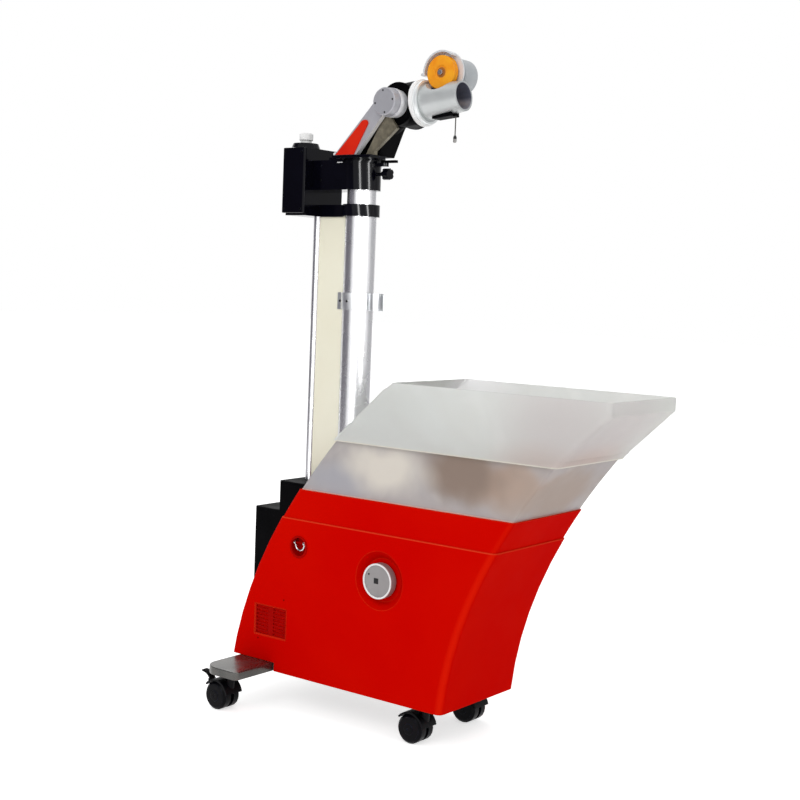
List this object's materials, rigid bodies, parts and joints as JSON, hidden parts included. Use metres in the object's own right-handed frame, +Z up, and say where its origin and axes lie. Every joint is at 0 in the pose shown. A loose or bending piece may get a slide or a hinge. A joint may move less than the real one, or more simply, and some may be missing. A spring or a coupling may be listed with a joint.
{
  "type": "table tennis robot",
  "caption": "Ball-throwing practice machine on casters: leaning body with hopper, tall tube mast and a panning, tilting throwing head.",
  "frame": {"origin": "middle of the bounding box's footprint, on the floor under the wheels", "axes": "+Z up, +X the way the balls are thrown, +Y the machine's left"},
  "size_m": [0.7596, 0.408, 1.156],
  "materials": {
    "red_shell": "glossy scarlet",
    "dark_red": "dark red",
    "black_gloss": "glossy black",
    "black_plastic": "satin black",
    "black_rubber": "matte black",
    "tyre_black": "matte black",
    "frosted": "frosted milky",
    "clear_tray": "smoky translucent",
    "cast_grey": "polished cast",
    "silver": "satin anodised",
    "polished": "polished",
    "cream": "matte cream",
    "white_plastic": "satin white",
    "inlay_red": "satin orange red",
    "taupe": "satin champagne",
    "orange": "satin orange",
    "steel": "brushed"
  },
  "bodies": {
    "machine": {"body_shell": "red_shell", "body_band": "red_shell", "hopper_tray": "clear_tray", "hopper_funnel": "clear_tray", "rear_crossbar": "cast_grey", "front_crossbar": "cast_grey", "base_plate": "steel", "control_box": "black_plastic", "pull_cup": "dark_red", "vent_grille": "dark_red", "ball_bend_right": "white_plastic", "ball_bend_left": "white_plastic", "lift_motor": "steel", "feed_bowl": "white_plastic", "feed_motor": "steel", "mast_socket": "cast_grey", "riser_tube": "silver", "inner_tube": "silver", "rear_column": "polished", "web_panel": "cream", "ring_clamp": "black_gloss", "clip_band": "polished", "gearbox_housing": "black_gloss", "collar": "black_gloss"},
    "hood": {"hopper_hood": "frosted"},
    "turntable": {"feed_turntable": "white_plastic"},
    "lift_wheel": {"lift_wheel": "black_rubber"},
    "dial": {"dial_knob": "silver"},
    "bail": {"pull_bail": "polished"},
    "gearbox_knob": {"gearbox_knob": "white_plastic"},
    "wing_screw": {"wing_screw": "black_plastic"},
    "lock_lever": {"lock_lever": "black_plastic"},
    "head_base": {"pan_ring": "black_gloss", "ball_stud": "white_plastic", "arm_cheek": "silver", "arm_inlay": "inlay_red", "link_cheek": "taupe", "pivot_cap": "silver", "pivot_drum": "silver", "lower_elbow": "black_gloss"},
    "head": {"upper_elbow": "black_gloss", "barrel_flange": "white_plastic", "barrel": "silver", "wheel_guard": "silver", "throw_motor": "silver", "brake_block": "black_plastic", "lead": "black_rubber", "lead_tip": "polished"},
    "throw_wheel": {"throw_wheel": "orange", "throw_bolt": "steel"},
    "swivel_rear_right": {"caster_fork_rear_right": "black_plastic"},
    "wheels_rear_right": {"caster_wheels_rear_right": "tyre_black"},
    "brake_rear_right": {"brake_lever_rear_right": "black_plastic"},
    "swivel_rear_left": {"caster_fork_rear_left": "black_plastic"},
    "wheels_rear_left": {"caster_wheels_rear_left": "tyre_black"},
    "brake_rear_left": {"brake_lever_rear_left": "black_plastic"},
    "swivel_front_right": {"caster_fork_front_right": "black_plastic"},
    "wheels_front_right": {"caster_wheels_front_right": "tyre_black"},
    "swivel_front_left": {"caster_fork_front_left": "black_plastic"},
    "wheels_front_left": {"caster_wheels_front_left": "tyre_black"}
  },
  "joints": [
    {"name": "head_pan", "type": "hinge", "parent": "machine", "child": "head_base", "pos_m": [-0.19621, 0, 0.9788], "axis": [0, 0, 1], "range_deg": [-35, 35]},
    {"name": "head_tilt", "type": "hinge", "parent": "head_base", "child": "head", "pos_m": [-0.10321, 0, 1.067], "axis": [0, 1, 0], "range_deg": [-30, 20]},
    {"name": "throw_wheel_spin", "type": "hinge", "parent": "head", "child": "throw_wheel", "pos_m": [-0.03117, 0, 1.11905], "axis": [0, 1, 0], "continuous": true},
    {"name": "turntable_spin", "type": "hinge", "parent": "machine", "child": "turntable", "pos_m": [0.00679, 0, 0.349], "axis": [0, 0, 1], "continuous": true},
    {"name": "lift_wheel_spin", "type": "hinge", "parent": "machine", "child": "lift_wheel", "pos_m": [-0.12071, 0, 0.171], "axis": [0, 1, 0], "continuous": true},
    {"name": "dial_turn", "type": "hinge", "parent": "machine", "child": "dial", "pos_m": [-0.03921, -0.104, 0.267], "axis": [0, 1, 0], "range_deg": [-135, 135]},
    {"name": "gearbox_knob_turn", "type": "hinge", "parent": "machine", "child": "gearbox_knob", "pos_m": [-0.31171, -0.022, 1.016], "axis": [0, 0, 1], "continuous": true},
    {"name": "wing_screw_turn", "type": "hinge", "parent": "machine", "child": "wing_screw", "pos_m": [-0.14321, 0, 0.952], "axis": [1, 0, 0], "continuous": true},
    {"name": "lock_lever_turn", "type": "hinge", "parent": "machine", "child": "lock_lever", "pos_m": [-0.14721, 0, 0.9734], "axis": [0, 0, 1], "range_deg": [-20, 70]},
    {"name": "bail_lift", "type": "hinge", "parent": "machine", "child": "bail", "pos_m": [-0.21921, -0.107, 0.3045], "axis": [1, 0, 0], "range_deg": [-90, 0]},
    {"name": "hood_lift", "type": "slide", "parent": "machine", "child": "hood", "axis": [0.6521, 0, 0.7581], "range_m": [0, 0.15]},
    {"name": "caster_swivel_rear_right", "type": "hinge", "parent": "machine", "child": "swivel_rear_right", "pos_m": [-0.31521, -0.172, 0.06], "axis": [0, 0, 1], "continuous": true},
    {"name": "caster_roll_rear_right", "type": "hinge", "parent": "swivel_rear_right", "child": "wheels_rear_right", "pos_m": [-0.33321, -0.172, 0.025], "axis": [0, 1, 0], "continuous": true},
    {"name": "brake_press_rear_right", "type": "hinge", "parent": "swivel_rear_right", "child": "brake_rear_right", "pos_m": [-0.35985, -0.172, 0.04581], "axis": [0, 1, 0], "range_deg": [-18, 0]},
    {"name": "caster_swivel_rear_left", "type": "hinge", "parent": "machine", "child": "swivel_rear_left", "pos_m": [-0.31521, 0.172, 0.06], "axis": [0, 0, 1], "continuous": true},
    {"name": "caster_roll_rear_left", "type": "hinge", "parent": "swivel_rear_left", "child": "wheels_rear_left", "pos_m": [-0.33321, 0.172, 0.025], "axis": [0, 1, 0], "continuous": true},
    {"name": "brake_press_rear_left", "type": "hinge", "parent": "swivel_rear_left", "child": "brake_rear_left", "pos_m": [-0.35985, 0.172, 0.04581], "axis": [0, 1, 0], "range_deg": [-18, 0]},
    {"name": "caster_swivel_front_right", "type": "hinge", "parent": "machine", "child": "swivel_front_right", "pos_m": [0.04379, -0.078, 0.06], "axis": [0, 0, 1], "continuous": true},
    {"name": "caster_roll_front_right", "type": "hinge", "parent": "swivel_front_right", "child": "wheels_front_right", "pos_m": [0.02579, -0.078, 0.025], "axis": [0, 1, 0], "continuous": true},
    {"name": "caster_swivel_front_left", "type": "hinge", "parent": "machine", "child": "swivel_front_left", "pos_m": [0.04379, 0.078, 0.06], "axis": [0, 0, 1], "continuous": true},
    {"name": "caster_roll_front_left", "type": "hinge", "parent": "swivel_front_left", "child": "wheels_front_left", "pos_m": [0.02579, 0.078, 0.025], "axis": [0, 1, 0], "continuous": true}
  ]
}
